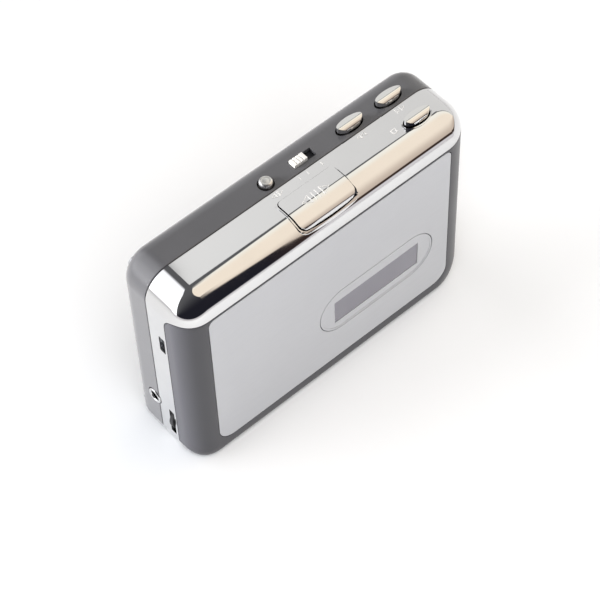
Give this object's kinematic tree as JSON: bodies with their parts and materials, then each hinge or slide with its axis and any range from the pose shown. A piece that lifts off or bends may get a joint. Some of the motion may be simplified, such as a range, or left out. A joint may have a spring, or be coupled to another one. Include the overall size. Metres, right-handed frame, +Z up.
{
  "type": "portable cassette player",
  "caption": "Pocket auto-reverse cassette player: dark case with a chrome frame and key deck, hinged cassette door with window, deck keys, volume wheel, USB and headphone sockets.",
  "frame": {"origin": "middle of the bottom face that the player stands on", "axes": "+X along the case towards the stop and rewind keys, -Y out of the cassette door, +Z up towards the key deck"},
  "size_m": [0.1158, 0.031, 0.0809],
  "materials": {
    "case_grey": "satin painted dark grey",
    "door_grey": "satin graphite grey",
    "chrome": "mirror plated",
    "silver_panel": "satin silver sheet",
    "smoked_lens": "smoked clear plastic",
    "satin_metal": "satin",
    "steel": "plain steel",
    "black_plastic": "matte black",
    "white_plastic": "plain off-white",
    "brass": "turned brass",
    "rubber": "matte black rubber",
    "board_green": "green circuit board",
    "contact_metal": "copper strip and wire"
  },
  "bodies": {
    "case": {"rear_housing": "case_grey", "front_frame": "chrome", "case_screw_top_left": "steel", "case_screw_top_right": "steel", "case_screw_bottom_left": "steel", "case_screw_right": "steel", "deck_plate": "steel", "deck_screw_left": "steel", "deck_screw_right": "steel", "deck_screw_bottom": "steel", "hinge_pin_left": "steel", "hinge_pin_right": "steel", "capstan_bearing_left": "brass", "capstan_bearing_right": "brass", "motor_body": "steel", "motor_mount": "steel", "drive_belt": "rubber", "main_board": "board_green", "side_board": "board_green", "mode_switch_body": "black_plastic", "direction_switch": "black_plastic", "key_guide": "black_plastic", "volume_control": "steel", "headphone_jack": "chrome", "usb_socket": "steel", "battery_spring_contact": "contact_metal", "battery_plate_contact": "contact_metal", "battery_link_contact": "contact_metal", "play_spring": "steel", "stop_spring": "steel", "fast_forward_spring": "steel", "rewind_spring": "steel"},
    "door": {"door_frame": "door_grey", "door_panel": "silver_panel", "door_window": "smoked_lens", "cassette_holder": "black_plastic", "cassette_spring_left": "steel", "cassette_spring_right": "steel"},
    "cover": {"battery_cover": "case_grey"},
    "play": {"play_button": "chrome"},
    "heads": {"head_plate": "steel", "tape_head": "satin_metal"},
    "left_arm": {"pinch_arm_left": "steel"},
    "right_arm": {"pinch_arm_right": "steel"},
    "left_roller": {"pinch_roller_left": "rubber"},
    "right_roller": {"pinch_roller_right": "rubber"},
    "stop": {"stop_button": "chrome"},
    "fast_forward": {"fast_forward_button": "chrome"},
    "rewind": {"rewind_button": "chrome"},
    "direction": {"direction_button": "chrome"},
    "mode": {"mode_switch_knob": "satin_metal"},
    "volume": {"volume_wheel": "black_plastic"},
    "supply": {"supply_spindle": "white_plastic"},
    "take_up": {"take_up_spindle": "white_plastic"},
    "left_drive": {"flywheel_left": "brass", "capstan_left": "satin_metal"},
    "right_drive": {"flywheel_right": "brass", "capstan_right": "satin_metal"},
    "motor_drive": {"motor_pulley": "brass"},
    "idler": {"idler_pulley": "white_plastic"}
  },
  "joints": [
    {"name": "door_hinge", "type": "hinge", "parent": "case", "child": "door", "pos_m": [0, -0.0123, 0.0032], "axis": [1, 0, 0], "range_deg": [0, 45]},
    {"name": "play_press", "type": "slide", "parent": "case", "child": "play", "axis": [0, 0, -1], "range_m": [0, 0.0025], "stiffness_N_per_m": 150, "springref_m": -0.0015, "deforming": ["play_spring"]},
    {"name": "head_slide", "type": "slide", "parent": "case", "child": "heads", "axis": [0, 0, -1], "range_m": [0, 0.0025]},
    {"name": "left_arm_swing", "type": "hinge", "parent": "case", "child": "left_arm", "pos_m": [-0.021, -0.004, 0.071], "axis": [0, -1, 0], "range_deg": [0, 24]},
    {"name": "right_arm_swing", "type": "hinge", "parent": "case", "child": "right_arm", "pos_m": [0.0174, -0.004, 0.071], "axis": [0, 1, 0], "range_deg": [0, 24]},
    {"name": "left_roller_spin", "type": "hinge", "parent": "left_arm", "child": "left_roller", "pos_m": [-0.032, -0.0076, 0.0726], "axis": [0, 1, 0], "continuous": true},
    {"name": "right_roller_spin", "type": "hinge", "parent": "right_arm", "child": "right_roller", "pos_m": [0.0284, -0.0076, 0.0726], "axis": [0, 1, 0], "continuous": true},
    {"name": "stop_press", "type": "slide", "parent": "case", "child": "stop", "axis": [0, 0, -1], "range_m": [0, 0.0024], "stiffness_N_per_m": 150, "springref_m": -0.0015, "deforming": ["stop_spring"]},
    {"name": "fast_forward_press", "type": "slide", "parent": "case", "child": "fast_forward", "axis": [0, 0, -1], "range_m": [0, 0.0024], "stiffness_N_per_m": 150, "springref_m": -0.0015, "deforming": ["fast_forward_spring"]},
    {"name": "rewind_press", "type": "slide", "parent": "case", "child": "rewind", "axis": [0, 0, -1], "range_m": [0, 0.0024], "stiffness_N_per_m": 150, "springref_m": -0.0015, "deforming": ["rewind_spring"]},
    {"name": "direction_press", "type": "slide", "parent": "case", "child": "direction", "axis": [0, 0, -1], "range_m": [0, 0.0008], "stiffness_N_per_m": 200, "springref_m": -0.0008},
    {"name": "mode_slide", "type": "slide", "parent": "case", "child": "mode", "axis": [1, 0, 0], "range_m": [0, 0.003]},
    {"name": "volume_turn", "type": "hinge", "parent": "case", "child": "volume", "pos_m": [-0.0523, -0.0026, 0.0117], "axis": [0, 1, 0], "range_deg": [0, 270]},
    {"name": "battery_cover_slide", "type": "slide", "parent": "case", "child": "cover", "axis": [1, 0, 0], "range_m": [0, 0.056]},
    {"name": "supply_spin", "type": "hinge", "parent": "case", "child": "supply", "pos_m": [-0.02305, -0.005, 0.0335], "axis": [0, 1, 0], "continuous": true},
    {"name": "take_up_spin", "type": "hinge", "parent": "case", "child": "take_up", "pos_m": [0.01945, -0.005, 0.0335], "axis": [0, 1, 0], "continuous": true},
    {"name": "left_capstan_spin", "type": "hinge", "parent": "case", "child": "left_drive", "pos_m": [-0.032, 0.002, 0.0638], "axis": [0, 1, 0], "continuous": true},
    {"name": "right_capstan_spin", "type": "hinge", "parent": "case", "child": "right_drive", "pos_m": [0.0284, 0.002, 0.0638], "axis": [0, 1, 0], "continuous": true},
    {"name": "motor_spin", "type": "hinge", "parent": "case", "child": "motor_drive", "pos_m": [-0.032, 0.002, 0.036], "axis": [0, 1, 0], "continuous": true},
    {"name": "idler_spin", "type": "hinge", "parent": "case", "child": "idler", "pos_m": [0.046, 0.002, 0.05], "axis": [0, 1, 0], "continuous": true}
  ],
  "couplings": [
    {"joint": "head_slide", "follows": "play_press", "ratio": 1},
    {"joint": "left_arm_swing", "follows": "play_press", "rad_per_m": 165},
    {"joint": "right_arm_swing", "follows": "play_press", "rad_per_m": 165},
    {"joint": "right_capstan_spin", "follows": "left_capstan_spin", "ratio": -1},
    {"joint": "motor_spin", "follows": "left_capstan_spin", "ratio": 3.535},
    {"joint": "idler_spin", "follows": "left_capstan_spin", "ratio": 4.115}
  ]
}
